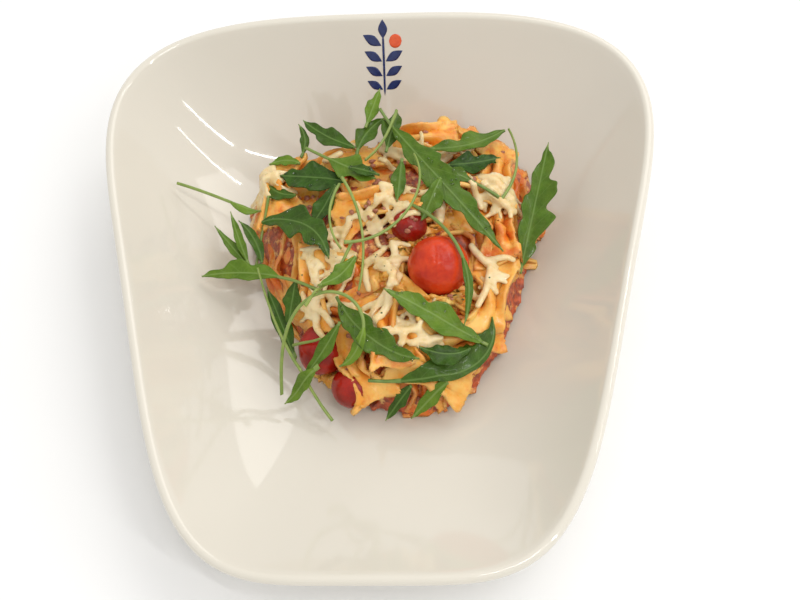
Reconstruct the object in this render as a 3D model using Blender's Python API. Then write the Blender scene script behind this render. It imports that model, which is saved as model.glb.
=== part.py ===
"""A plated portion of baked farfalle with melted cheese, tomatoes and rocket leaves in its deep white plate.

Frame: metres, +Z up, +Y towards the plate's high far rim, +X to the right for someone at the low side.
The origin is the middle of the plate's footprint, at the level of the surface it stands on.
The lists below are in millimetres and are turned into metres where meshes are made.
"""

import math

import bmesh
import bpy
import numpy as np
from mathutils import Vector
from mathutils.bvhtree import BVHTree

MM = 0.001

# Plate: the rim's plan is a rounded trapezoid. Squareness is 2 for an ellipse, and more for squarer corners.
RIM_NEAR_HALF_WIDTH = 82.0
RIM_FAR_HALF_WIDTH = 146.0
RIM_SIDE_HOLLOW = 3.0
RIM_NEAR_SQUARENESS = 5.0
RIM_FAR_SQUARENESS = 3.2
RIM_NEAR_Z = 42.0
RIM_FAR_Z = 62.0
RIM_HALF_LENGTH = 134.5
RIM_MIDDLE_Y = -0.3
WELL_SCALE = 0.42
WELL_Y = 18.0
FLOOR_Z = 8.0
WALL_POWER = 2.2
PLATE_THICKNESS = 5.0
FOOT_OUTER_SCALE = 0.46
FOOT_INNER_SCALE = 0.42
FOOT_RECESS_Z = 2.0
PLATE_SIDES = 60
FLOOR_RINGS = (0.35, 0.7)
WALL_STEPS = 9
RIM_ARC_STEPS = 3
OUTER_STEPS = (0.86, 0.66, 0.44, 0.2)

# Pasta heap: a mound with one radius every 36 degrees from +X, anticlockwise.
HEAP_CENTRE = (6.0, 18.0)
HEAP_RADII = (66.0, 88.0, 91.0, 72.0, 87.0, 66.0, 60.0, 70.0, 78.0, 68.0)
HEAP_TOP_Z = 44.0
HEAP_EDGE_POWER = 3.0
HEAP_FULLNESS = 0.62
HEAP_SIDES = 56
HEAP_RINGS = (0.1, 0.2, 0.3, 0.4, 0.49, 0.58, 0.67, 0.75, 0.83, 0.9, 0.96)
RESTING_GAP = 0.8

# One bow tie of pasta, cooked.
BOW_LENGTH = 42.0
BOW_WIDTH = 30.0
BOW_WAIST = 11.0
BOW_RELIEF = 7.0

# Bow ties that lie on top: x, y, the way the bow points in degrees.
TOP_BOWS = (
    (58, 60, 80),
    (60, 24, 100),
    (56, -8, 75),
    (28, -46, 150),
    (0, -36, 55),
    (-26, 14, 75),
    (-2, 36, 20),
    (6, -4, 110),
    (-52, 53, 100),
    (20, 85, 5),
    (47, 82, 155),
    (24, 34, 40),
    (-46, -18, 60),
    (-20, 66, 30),
    (30, -14, 20),
)

# Tomatoes: centre and radius. The first is whole, and the others are halves lying skin side out.
TOMATO_CENTRE = (28.5, 3.5, 44.5)
TOMATO_RADIUS = 14.0
TOMATO_HALVES = {
    "tomato_half_left": {"centre": (-25, -27, 23), "radius": 12.0, "faces": (-0.55, -0.6, 0.58)},
    "tomato_half_front": {"centre": (-11, -44.5, 20), "radius": 10.0, "faces": (-0.2, -0.75, 0.62)},
    "tomato_half_back": {"centre": (15, 26, 44), "radius": 9.0, "faces": (-0.1, -0.3, 0.95)},
}
HALF_DEPTH = 0.15
CUT_GAP = 0.4

STEM_WIDTH = 2.4
STEM_STATIONS = 5
STATION_SPACING = 8.0
LEAST_HALF_WIDTH = 0.8
ROUTE_STEPS = 24
LEAF_THICKNESS = 0.8
LEAF_GAP = 0.7
LEAF_CUP = 0.15
COLUMNS = (-1, 0, 1)
LIFT_STEP = 0.5
LIFT_TRIES = 60


def clear_scene():
    for obj in list(bpy.data.objects):
        bpy.data.objects.remove(obj, do_unlink=True)


def new_collection(name):
    collection = bpy.data.collections.new(name)
    bpy.context.scene.collection.children.link(collection)
    return collection


def material(name, colour, roughness):
    """A plain Principled material."""
    made = bpy.data.materials.new(name)
    made.use_nodes = True
    shader = made.node_tree.nodes["Principled BSDF"]
    shader.inputs["Base Color"].default_value = (*colour, 1.0)
    shader.inputs["Roughness"].default_value = roughness
    shader.inputs["Metallic"].default_value = 0.0
    return made


def add_object(name, mesh, collection, look):
    obj = bpy.data.objects.new(name, mesh)
    collection.objects.link(obj)
    mesh.materials.clear()
    mesh.materials.append(look)
    mesh.shade_smooth()
    mesh.set_sharp_from_angle(angle=math.radians(50))
    return obj


def mesh_from_rings(name, rings, first_centre, last_centre):
    """A closed mesh from rings of equal length (millimetres), each end closed by a fan to a centre point."""
    count = len(rings[0])
    points = [first_centre] + [tuple(p) for ring in rings for p in ring] + [last_centre]
    faces = []
    last = len(points) - 1
    for i in range(count):
        j = (i + 1) % count
        faces.append((0, 1 + i, 1 + j))
        for r in range(len(rings) - 1):
            a = 1 + r * count
            b = a + count
            faces.append((a + i, b + i, b + j, a + j))
        a = 1 + (len(rings) - 1) * count
        faces.append((a + j, a + i, last))
    mesh = bpy.data.meshes.new(name)
    mesh.from_pydata([tuple(c * MM for c in p) for p in points], [], faces)
    bm = bmesh.new()
    bm.from_mesh(mesh)
    bmesh.ops.recalc_face_normals(bm, faces=bm.faces)
    bm.to_mesh(mesh)
    bm.free()
    return mesh


# ---------------------------------------------------------------- plate


def rim_outline(angle):
    """The rim's plan at an angle clockwise from +Y, with its height, as an array of points."""
    across, along = np.sin(angle), np.cos(angle)
    square = RIM_NEAR_SQUARENESS + (RIM_FAR_SQUARENESS - RIM_NEAR_SQUARENESS) * (1 + along) / 2
    reach = (np.abs(across) ** square + np.abs(along) ** square) ** (-1 / square)
    u, v = reach * across, reach * along
    half_width = RIM_NEAR_HALF_WIDTH + (RIM_FAR_HALF_WIDTH - RIM_NEAR_HALF_WIDTH) * (1 + v) / 2
    x = u * (half_width - RIM_SIDE_HOLLOW * (1 - v**2))
    y = v * RIM_HALF_LENGTH + RIM_MIDDLE_Y
    share = (y + RIM_HALF_LENGTH) / (2 * RIM_HALF_LENGTH)
    return np.stack([x, y, RIM_NEAR_Z + (RIM_FAR_Z - RIM_NEAR_Z) * share], -1)


def well_outline(angle, scale):
    """The rim's plan, made smaller about the well's middle."""
    rim = rim_outline(angle)
    return np.stack([rim[:, 0] * scale, rim[:, 1] * scale + WELL_Y, np.full(len(rim), FLOOR_Z)], -1)


def inner_ring(angle, step):
    """The inside of the wall, from the well's edge at step 0 to the rim at step 1."""
    well = well_outline(angle, WELL_SCALE)
    rim = rim_outline(angle)
    ring = well + (rim - well) * step
    ring[:, 2] = FLOOR_Z + (rim[:, 2] - FLOOR_Z) * step**WALL_POWER
    return ring


def wall_normal(angle, step):
    """Unit vectors pointing out of the inside of the wall, up and towards the middle."""
    small = 0.01
    along = inner_ring(angle + small, step) - inner_ring(angle - small, step)
    up = inner_ring(angle, step + small) - inner_ring(angle, step - small)
    normal = np.cross(along, up)
    normal *= np.sign(normal[:, 2:3])
    return normal / np.linalg.norm(normal, axis=1, keepdims=True)


def plate_mesh():
    angle = np.arange(PLATE_SIDES) * 2 * math.pi / PLATE_SIDES
    rings = [well_outline(angle, WELL_SCALE * share) for share in FLOOR_RINGS]
    rings += [inner_ring(angle, k / WALL_STEPS) for k in range(WALL_STEPS + 1)]
    normal = wall_normal(angle, 1.0)
    middle = rings[-1] - normal * PLATE_THICKNESS / 2
    upward = np.cross(normal, np.cross(np.array([0.0, 0.0, 1.0]), normal))
    upward /= np.linalg.norm(upward, axis=1, keepdims=True)
    for k in range(1, RIM_ARC_STEPS + 1):
        turn = math.pi * k / (RIM_ARC_STEPS + 1)
        rings.append(middle + (normal * math.cos(turn) + upward * math.sin(turn)) * PLATE_THICKNESS / 2)
    rings.append(rings[-RIM_ARC_STEPS - 1] - normal * PLATE_THICKNESS)
    for step in OUTER_STEPS:
        rings.append(inner_ring(angle, step) - wall_normal(angle, step) * PLATE_THICKNESS)
    outer_foot = well_outline(angle, FOOT_OUTER_SCALE)
    inner_foot = well_outline(angle, FOOT_INNER_SCALE)
    low = FLOOR_Z - PLATE_THICKNESS
    steps = ((outer_foot, low), (outer_foot, 0.0), (inner_foot, 0.0), (inner_foot, FOOT_RECESS_Z))
    for foot, height in steps:
        ring = foot.copy()
        ring[:, 2] = height
        rings.append(ring)
    return mesh_from_rings("plate", rings, (0, WELL_Y, FLOOR_Z), (0, WELL_Y, FOOT_RECESS_Z))


# ---------------------------------------------------------------- pasta heap


def tree_of(objects):
    """A ray-casting tree over the evaluated objects."""
    bpy.context.view_layer.update()
    graph = bpy.context.evaluated_depsgraph_get()
    points, faces = [], []
    for obj in objects:
        evaluated = obj.evaluated_get(graph)
        mesh = evaluated.to_mesh()
        mesh.calc_loop_triangles()
        start = len(points)
        points += [obj.matrix_world @ v.co for v in mesh.vertices]
        faces += [tuple(start + i for i in t.vertices) for t in mesh.loop_triangles]
        evaluated.to_mesh_clear()
    return BVHTree.FromPolygons(points, faces)


def height_at(tree, x, y, below=200.0):
    """The highest surface of a tree at a point of the plan, in millimetres, or 0 where there is none."""
    hit = tree.ray_cast(Vector((x * MM, y * MM, below * MM)), Vector((0, 0, -1)))
    return hit[0].z / MM if hit[0] else 0.0


def heap_radius(angle):
    """The mound's radius at an angle, through HEAP_RADII with a smooth periodic curve."""
    count = len(HEAP_RADII)
    place = angle / (2 * math.pi) * count
    i = int(math.floor(place)) % count
    t = place - math.floor(place)
    a, b, c, d = (HEAP_RADII[(i + k) % count] for k in (-1, 0, 1, 2))
    return b + 0.5 * t * (c - a + t * (2 * a - 5 * b + 4 * c - d + t * (3 * (b - c) + d - a)))


def bow_relief(x, y):
    """How far the bow ties on top stand proud at a point of the plan."""
    best = 0.0
    for bow_x, bow_y, turn in TOP_BOWS:
        c, s = math.cos(math.radians(turn)), math.sin(math.radians(turn))
        along = abs((x - bow_x) * c + (y - bow_y) * s) / (BOW_LENGTH / 2)
        half = BOW_WAIST / 2 + (BOW_WIDTH - BOW_WAIST) / 2 * min(1.0, along) ** 1.5
        across = abs(-(x - bow_x) * s + (y - bow_y) * c) / half
        fall = max(along, across)
        crest = BOW_RELIEF * (0.75 + 0.25 * math.cos(math.pi * min(1.0, along)))
        best = max(best, crest * (1 - fall**3) if fall < 1 else 0.0)
    return best


def heap_mesh(plate_tree):
    top, bottom = [], []
    cx, cy = HEAP_CENTRE
    for share in HEAP_RINGS + (1.0,):
        ring_top, ring_bottom = [], []
        for i in range(HEAP_SIDES):
            angle = 2 * math.pi * i / HEAP_SIDES
            radius = heap_radius(angle) * share
            x, y = cx + radius * math.cos(angle), cy + radius * math.sin(angle)
            rest = height_at(plate_tree, x, y) + RESTING_GAP
            dome = (1 - share**HEAP_EDGE_POWER) ** HEAP_FULLNESS
            rise = max(HEAP_TOP_Z - rest, 0.0) * dome + bow_relief(x, y) * (1 - share**20)
            ring_top.append((x, y, rest + max(rise, 1.5)))
            ring_bottom.append((x, y, rest))
        top.append(ring_top)
        bottom.append(ring_bottom)
    bottom_rings = [bottom[-1], bottom[-3], bottom[-6]]
    peak = (cx, cy, HEAP_TOP_Z + bow_relief(cx, cy))
    return mesh_from_rings("pasta_heap", top + bottom_rings, peak, (cx, cy, FLOOR_Z + RESTING_GAP))


# ---------------------------------------------------------------- tomatoes


def ball_mesh(name, centre, radius, u_segments, v_segments):
    bm = bmesh.new()
    bmesh.ops.create_uvsphere(bm, u_segments=u_segments, v_segments=v_segments, radius=radius * MM)
    bmesh.ops.translate(bm, verts=bm.verts, vec=Vector(centre) * MM)
    mesh = bpy.data.meshes.new(name)
    bm.to_mesh(mesh)
    bm.free()
    return mesh


def half_ball_mesh(name, centre, radius, faces, depth):
    """Half a ball whose round side looks along faces, with a flat cut face behind its centre."""
    bm = bmesh.new()
    bmesh.ops.create_uvsphere(bm, u_segments=12, v_segments=8, radius=radius * MM)
    whole = bm.verts[:] + bm.edges[:] + bm.faces[:]
    place = (0, 0, -depth * MM)
    cut = bmesh.ops.bisect_plane(bm, geom=whole, plane_co=place, plane_no=(0, 0, -1), clear_outer=True)
    bmesh.ops.edgeloop_fill(bm, edges=[e for e in cut["geom_cut"] if isinstance(e, bmesh.types.BMEdge)])
    turn = Vector((0, 0, 1)).rotation_difference(Vector(faces))
    bmesh.ops.rotate(bm, verts=bm.verts, cent=(0, 0, 0), matrix=turn.to_matrix())
    bmesh.ops.translate(bm, verts=bm.verts, vec=Vector(centre) * MM)
    bmesh.ops.recalc_face_normals(bm, faces=bm.faces)
    mesh = bpy.data.meshes.new(name)
    bm.to_mesh(mesh)
    bm.free()
    return mesh


def cut_by(obj, cutter, hidden):
    """Takes the cutter out of the object."""
    hidden.objects.link(cutter)
    cutter.hide_render = True
    cutter.display_type = "WIRE"
    modifier = obj.modifiers.new("cut_" + cutter.name, "BOOLEAN")
    modifier.operation = "DIFFERENCE"
    modifier.object = cutter


# ---------------------------------------------------------------- rocket leaves


def leaf(x, y, z, heading, bend, length, tip_z, left, right, stem, arch=0.0, curl=1.0):
    """A rocket leaf, from its stem's end to its tip.

    It starts at x, y, z, sets off at heading degrees from +X and turns by bend degrees on the way, late when
    curl is over 1. tip_z is its tip's height and arch how far its middle rises. left and right are the
    blade's half widths, and stem is the share of the length before the blade, 1 for a bare stem.
    """
    return {"start": (x, y, z), "heading": heading, "bend": bend, "length": length, "tip_z": tip_z,
            "left": left, "right": right, "stem": stem, "arch": arch, "curl": curl}


# Rocket leaves and stems, from the lowest of the pile to the highest.
LEAVES = (
    leaf(32, -48, 27, 213, 0, 20, 15, 3, 3, 0),
    leaf(16, -49, 29, 220, 0, 16, 15, 3, 3, 0),
    leaf(-37, -33, 22, 113, 0, 38, 30, 4, 4, 0.05),
    leaf(-37, 1, 36, 258, 0, 19, 26, 4, 4.5, 0),
    leaf(-39, 45, 42, 180, -60, 17, 37, 5, 3, 0),
    leaf(-59, 9, 26, 83, -8, 37, 35, 0, 0, 1),
    leaf(-59, 11, 26, 130, 0, 31, 32, 2.5, 2.5, 0.1),
    leaf(-59, 9, 28, 115, -8, 34, 35, 2, 2.5, 0.2),
    leaf(-55, 15, 30, 100, 40, 24, 35, 3, 3, 0),
    leaf(-99, 58, 35, -18, -12, 47, 32, 1, 4.5, 0.62),
    leaf(-38, 63, 42, 148, 50, 16, 39, 3, 3, 0),
    leaf(-38, 68, 40, 60, 70, 18, 44, 2.5, 2, 0.1),
    leaf(-15, 48, 48, 166, 0, 33, 42, 8.5, 8.5, 0),
    leaf(-19, 45, 46, 241, 0, 23, 38, 4.5, 5, 0),
    leaf(-11, 68, 47, 158, -26, 32, 45, 5, 5, 0),
    leaf(-10, 64, 46, 82, -50, 25, 48, 4.5, 5, 0.1),
    leaf(4, 65, 47, 78, 0, 25, 46, 5, 5, 0.1),
    leaf(-6, 78, 48, 72, 0, 22, 52, 3.5, 3.5, 0.1),
    leaf(-35, 70, 44, -38, 5, 43, 53, 7, 7, 0.35),
    leaf(-13, 52, 50, -22, 0, 16, 51, 3, 3, 0),
    leaf(-55, 33, 35, 0, -75, 46, 42, 7, 9, 0, arch=5),
    leaf(-24, -8, 42, 145, 38, 63, 28, 4, 7, 0.38),
    leaf(-3, -48, 32, -2, 110, 73, 34, 11, 2.5, 0.2, arch=-5, curl=2.5),
    leaf(42, -34, 33, 217, -70, 24, 36, 6, 4.5, 0),
    leaf(-17, -12, 45, -66, 55, 49, 32, 7, 6.5, 0.05, arch=2),
    leaf(-15, -25, 42, 229, -6, 27, 26, 3.5, 3.5, 0),
    leaf(-38, -28, 27, -8, 0, 14, 37, 0, 0, 1),
    leaf(-20, -60, 14, 130, -25, 76, 32, 0, 0, 1),
    leaf(-25, -41, 26, 219, -16, 20, 14, 3.5, 3.5, 0.1),
    leaf(50, -32, 28, 156, 0, 50, 52, 6.5, 6.5, 0.05, arch=3),
    leaf(-43, -49, 18, 86, -270, 88, 26, 3, 3, 0.8, arch=30, curl=1.8),
    leaf(33, 58, 45, 2, 18, 26, 43, 5.5, 6.5, 0),
    leaf(61, 79, 43, 220, -45, 42, 47, 4, 6, 0),
    leaf(58, 39, 44, 52, 62, 42, 44, 0, 0, 1),
    leaf(57, 39, 44, 142, 24, 30, 51, 4, 3.5, 0.5),
    leaf(1, 87, 46, -59, 12, 95, 43, 8, 7, 0.12, arch=8),
    leaf(30, 44, 52, 247, 0, 23, 50, 5.5, 4.5, 0),
    leaf(12, 56, 53, 265, 0, 23, 53, 3.5, 4, 0.05),
    leaf(9, 87, 49, 260, -28, 35, 52, 0, 0, 1),
    leaf(17, 31, 53, -42, -70, 66, 43, 2, 2, 0.55, arch=8, curl=1.6),
    leaf(-17, 45, 50, 242, 62, 38, 52, 0, 0, 1),
    leaf(-16, 47, 51, -60, -42, 61, 51, 0, 0, 1, arch=3),
    leaf(-10, 9, 55, 244, -14, 36, 40, 0, 0, 1),
    leaf(-8, 3, 54, 240, -28, 23, 46, 4, 4, 0),
    leaf(-13, 8, 53, 3, 110, 68, 54, 0, 0, 1, arch=4),
    leaf(66, 8, 26, 76, 0, 65, 43, 6, 10, 0.06),
)


def route_point(leaf, t):
    """The leaf's midline at a share t of its length."""
    point = Vector(leaf["start"])
    for k in range(ROUTE_STEPS):
        share = t * (k + 0.5) / ROUTE_STEPS
        turn = math.radians(leaf["heading"] + leaf["bend"] * share ** leaf["curl"])
        point += Vector((math.cos(turn), math.sin(turn), 0.0)) * leaf["length"] * t / ROUTE_STEPS
    point.z += (leaf["tip_z"] - leaf["start"][2]) * t + leaf["arch"] * 4 * t * (1 - t)
    return point


def blade_share(u):
    """The blade's half width at a share u of its length, as a share of its widest: full early, pointed late."""
    return min(1.0, u / 0.3) ** 0.7 * (1 - u**2.6)


def leaf_stations(leaf):
    """A share of the route, and the half widths to its left and right, from the stem's end to the tip."""
    half_stem = STEM_WIDTH / 2
    if leaf["stem"] >= 1.0:
        count = max(STEM_STATIONS, round(leaf["length"] / STATION_SPACING))
        return [(k / count, half_stem, half_stem) for k in range(count + 1)]
    steps = math.ceil(leaf["stem"] * leaf["length"] / STATION_SPACING)
    stations = [(leaf["stem"] * k / steps, half_stem, half_stem) for k in range(steps)]
    blade = 1.0 - leaf["stem"]
    count = max(4, round(blade * leaf["length"] / STATION_SPACING))
    for k in range(count + 1):
        full = blade_share(k / count)
        left, right = (max(LEAST_HALF_WIDTH, leaf[side] * full) for side in ("left", "right"))
        stations.append((leaf["stem"] + blade * k / count, left, right))
    return stations


def highest_near(tree, x, y, reach):
    """The highest surface within reach of a point of the plan."""
    around = [(0.0, 0.0)] + [(math.cos(k * math.pi / 3), math.sin(k * math.pi / 3)) for k in range(6)]
    return max(height_at(tree, x + reach * u, y + reach * v) for u, v in around)


def leaf_grid(leaf, tree):
    """Rows of points across the leaf, lying over whatever is already on the plate."""
    rows, lifts = [], []
    for place, left, right in leaf_stations(leaf):
        here = route_point(leaf, place)
        ahead = route_point(leaf, min(1.0, place + 0.02))
        ahead -= route_point(leaf, max(0.0, place - 0.02))
        side = Vector((ahead.y, -ahead.x, 0.0)).normalized()
        offsets = [c * (left if c < 0 else right) for c in COLUMNS]
        row = [here + side * offset + Vector((0, 0, abs(offset) * LEAF_CUP)) for offset in offsets]
        rows.append(row)
        lifts.append([max(0.0, highest_near(tree, p.x, p.y, 2.0) + LEAF_GAP - p.z) for p in row])
    smooth = np.array(lifts)
    for _ in range(3):
        padded = np.pad(smooth, 1, mode="edge")
        near = padded[:-2, 1:-1] + padded[2:, 1:-1] + padded[1:-1, :-2] + padded[1:-1, 2:]
        smooth = np.maximum(np.array(lifts), (near + padded[1:-1, 1:-1]) / 5)
    return [[p + Vector((0, 0, smooth[i, j])) for j, p in enumerate(row)] for i, row in enumerate(rows)]


def sheet_mesh(name, rows, below, above):
    """A closed sheet between two heights over the same rows of points."""
    wide, long = len(rows[0]), len(rows)
    flat = [p for row in rows for p in row]
    points = [p + Vector((0, 0, above)) for p in flat] + [p + Vector((0, 0, below)) for p in flat]
    under = wide * long
    faces = []
    for i in range(long - 1):
        for j in range(wide - 1):
            a, b, c, d = i * wide + j, i * wide + j + 1, (i + 1) * wide + j + 1, (i + 1) * wide + j
            faces += [(a, b, c, d), (d + under, c + under, b + under, a + under)]
    edge = [(0, j) for j in range(wide)] + [(i, wide - 1) for i in range(1, long)]
    edge += [(long - 1, j) for j in range(wide - 2, -1, -1)] + [(i, 0) for i in range(long - 2, 0, -1)]
    border = [i * wide + j for i, j in edge]
    for a, b in zip(border, border[1:] + border[:1]):
        faces.append((b, a, a + under, b + under))
    mesh = bpy.data.meshes.new(name)
    mesh.from_pydata([p * MM for p in points], [], faces)
    bm = bmesh.new()
    bm.from_mesh(mesh)
    bmesh.ops.recalc_face_normals(bm, faces=bm.faces)
    bm.to_mesh(mesh)
    bm.free()
    return mesh


def tree_of_mesh(mesh):
    mesh.calc_loop_triangles()
    faces = [tuple(t.vertices) for t in mesh.loop_triangles]
    return BVHTree.FromPolygons([v.co for v in mesh.vertices], faces)


def leaf_mesh(name, leaf, laid):
    """The leaf, raised a little at a time until it is clear of everything already laid."""
    tree = tree_of(laid)
    rows = leaf_grid(leaf, tree)
    for k in range(LIFT_TRIES):
        test = sheet_mesh("test", rows, -0.45, LEAF_THICKNESS + 0.45)
        touching = tree_of_mesh(test).overlap(tree)
        bpy.data.meshes.remove(test)
        if not touching:
            break
        rows = [[p + Vector((0, 0, LIFT_STEP)) for p in row] for row in rows]
    return sheet_mesh(name, rows, 0.0, LEAF_THICKNESS)


def main():
    clear_scene()
    parts = new_collection("baked_pasta_plate")
    cutters = new_collection("cutters")
    cutters.hide_render = True
    porcelain = material("porcelain", (0.86, 0.84, 0.79), 0.12)
    pasta = material("pasta", (0.86, 0.5, 0.14), 0.35)
    tomato = material("tomato", (0.68, 0.07, 0.03), 0.3)
    green = material("rocket", (0.07, 0.2, 0.03), 0.45)

    plate = add_object("plate", plate_mesh(), parts, porcelain)
    heap = add_object("pasta_heap", heap_mesh(tree_of([plate])), parts, pasta)
    laid = [plate, heap]
    whole = ball_mesh("cherry_tomato", TOMATO_CENTRE, TOMATO_RADIUS, 16, 10)
    laid.append(add_object("cherry_tomato", whole, parts, tomato))
    seat = ball_mesh("seat", TOMATO_CENTRE, TOMATO_RADIUS + CUT_GAP, 16, 10)
    cut_by(heap, bpy.data.objects.new("cherry_tomato_seat", seat), cutters)
    for name, half in TOMATO_HALVES.items():
        centre, radius, faces = half["centre"], half["radius"], half["faces"]
        depth = HALF_DEPTH * radius
        laid.append(add_object(name, half_ball_mesh(name, centre, radius, faces, depth), parts, tomato))
        seat = half_ball_mesh(name + "_seat", centre, radius + CUT_GAP, faces, depth + CUT_GAP)
        cut_by(heap, bpy.data.objects.new(name + "_seat", seat), cutters)
    for number, leaf in enumerate(LEAVES, 1):
        name = f"rocket_leaf_{number:02d}"
        laid.append(add_object(name, leaf_mesh(name, leaf, laid), parts, green))


main()
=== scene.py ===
"""Looks for the plated baked pasta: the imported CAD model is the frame, and every piece here rides on it.

Lengths are millimetres until a mesh is made. Places come from the same named values as the CAD part, or
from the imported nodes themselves.
"""

import math

import bmesh
import bpy
import numpy as np
from mathutils import Matrix, Vector
from mathutils.bvhtree import BVHTree


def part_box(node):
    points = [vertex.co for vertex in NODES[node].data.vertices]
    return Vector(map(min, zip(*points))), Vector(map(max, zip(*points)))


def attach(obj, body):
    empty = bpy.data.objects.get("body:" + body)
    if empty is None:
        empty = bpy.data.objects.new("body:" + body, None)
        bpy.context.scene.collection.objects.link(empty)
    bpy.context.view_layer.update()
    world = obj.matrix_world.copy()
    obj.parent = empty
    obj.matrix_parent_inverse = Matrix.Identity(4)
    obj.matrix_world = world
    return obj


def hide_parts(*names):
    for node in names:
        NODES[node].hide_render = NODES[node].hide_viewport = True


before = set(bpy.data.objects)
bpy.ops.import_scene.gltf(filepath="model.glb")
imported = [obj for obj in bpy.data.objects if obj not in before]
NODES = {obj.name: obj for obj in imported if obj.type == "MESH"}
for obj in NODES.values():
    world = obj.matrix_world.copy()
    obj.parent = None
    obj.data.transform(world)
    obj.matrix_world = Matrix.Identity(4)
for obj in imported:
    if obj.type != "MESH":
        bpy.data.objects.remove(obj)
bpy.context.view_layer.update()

MM = 0.001

# ---------------------------------------------------------------- driving dimensions

# Plate, as in the CAD part: the rim's plan is a rounded trapezoid.
RIM_NEAR_HALF_WIDTH = 82.0
RIM_FAR_HALF_WIDTH = 146.0
RIM_SIDE_HOLLOW = 3.0
RIM_NEAR_SQUARENESS = 5.0
RIM_FAR_SQUARENESS = 3.2
RIM_NEAR_Z = 42.0
RIM_FAR_Z = 62.0
RIM_HALF_LENGTH = 134.5
RIM_MIDDLE_Y = -0.3
WELL_SCALE = 0.42
WELL_Y = 18.0
FLOOR_Z = 8.0
WALL_POWER = 2.2
PLATE_THICKNESS = 5.0
FOOT_OUTER_SCALE = 0.46
FOOT_INNER_SCALE = 0.42
FOOT_RECESS_Z = 2.0
PLATE_SIDES = 192
FLOOR_STEPS = 8
WALL_STEPS = 40
RIM_ARC_STEPS = 12
OUTER_STEPS = 24
OUTER_LOWEST_STEP = 0.16
FOOT_BEVEL_Z = 0.4
FOOT_BEVEL_SCALE = 0.004

# Printed sprig: the wall's turning radius and its length up the slope, and how proud the print stands.
PRINT_RADIUS = 118.0
WALL_LENGTH = 92.0
PRINT_LIFT = 0.06
PRINT_THICKNESS = 0.1

# Camera: high over the near side of the plate, a little to the right.
CAMERA_ELEVATION = 62.0
CAMERA_AZIMUTH = 6.27
CAMERA_ROLL = -6.49
CAMERA_DISTANCE = 500.0
CAMERA_TARGET = (10.42, -5.74, 30.0)
CAMERA_LENS = 48.83

# Ceiling tubes: name, both ends in metres, power in watts.
CEILING_TUBES = (
    ("tube_near", (0.1, -0.2, 2.0), (0.7, -0.5, 2.0), 4.0),
    ("tube_near_far_end", (1.0, -0.6, 2.0), (2.7, -1.7, 2.0), 14.0),
    ("tube_far", (0.7, 0.7, 2.0), (3.2, -0.2, 2.0), 9.0),
)
TUBE_WIDTH = 0.05

# A soft light beyond the far side: place and size in metres, power in watts. Then the room's own light.
KEY_PLACE = (0.9, 1.2, 1.9)
KEY_SIZE = (1.6, 1.6)
KEY_POWER = 14.0
ROOM_LIGHT = 0.85

# One bow tie of pasta, cooked.
BOW_LENGTH = 41.0
BOW_WIDTH = 29.0
BOW_WAIST = 10.0
BOW_THICKNESS = 1.9
BOW_ROWS = 31
BOW_COLUMNS = 21

# Bow ties seen on top: x, y, turn, pitch, roll (degrees), lift, bend, and how red the sauce makes them.
TOP_BOWS = (
    (57, 58, 80, 6, -6, 2, -3, 0.4),
    (57, 27, 100, 0, 14, 1.5, -3, 0.6),
    (52, -8, 84, 4, 8, 2.5, -2, 0.2),
    (28, -45, 155, 0, -8, 1, -3, 0.1),
    (-10, -40, 112, 10, 25, 0.5, 2, 0.2),
    (-28, -4, 75, 0, -15, 1.5, -4, 0.25),
    (-2, 36, 20, -8, 10, 2, 3, 0.35),
    (4, -28, 110, 10, 0, 1, -3, 0.5),
    (-48, 52, 100, 0, -10, 1.5, -2, 0.3),
    (19, 79, 5, -4, 0, 1.5, -3, 0.4),
    (44, 75, 160, -4, 5, 1.5, -3, 0.4),
    (25, 42, 40, 12, -20, 2, 4, 0.4),
    (-46, -18, 60, 0, -10, 1, -3, 0.5),
    (-20, 66, 30, -5, 0, 1, -3, 0.3),
    (40, -26, 20, 0, 12, 1, -3, 0.45),
)
FILL_RINGS = ((0.3, 5), (0.58, 9), (0.8, 12), (0.93, 13))
TOP_HUG = 0.6
FILL_HUG = 0.95
FILL_LIFT = -3.2
FLOOR_ROOM = 1.2

# Tomatoes, as in the CAD part.
TOMATO_CENTRE = (28.5, 3.5, 44.5)
TOMATO_RADIUS = 14.0
TOMATO_HALVES = {
    "tomato_half_left": {"centre": (-25, -27, 23), "radius": 12.0, "faces": (-0.55, -0.6, 0.58)},
    "tomato_half_front": {"centre": (-11, -44.5, 20), "radius": 10.0, "faces": (-0.2, -0.75, 0.62)},
    "tomato_half_back": {"centre": (15, 26, 44), "radius": 9.0, "faces": (-0.1, -0.3, 0.95)},
}


def leaf(x, y, z, heading, bend, length, tip_z, left, right, stem, tint, arch=0.0, curl=1.0):
    """A rocket leaf as in the CAD part, with a tint from 0, dark, to 1, yellow-green."""
    return {"start": (x, y, z), "heading": heading, "bend": bend, "length": length, "tip_z": tip_z,
            "left": left, "right": right, "stem": stem, "tint": tint, "arch": arch, "curl": curl}


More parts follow.
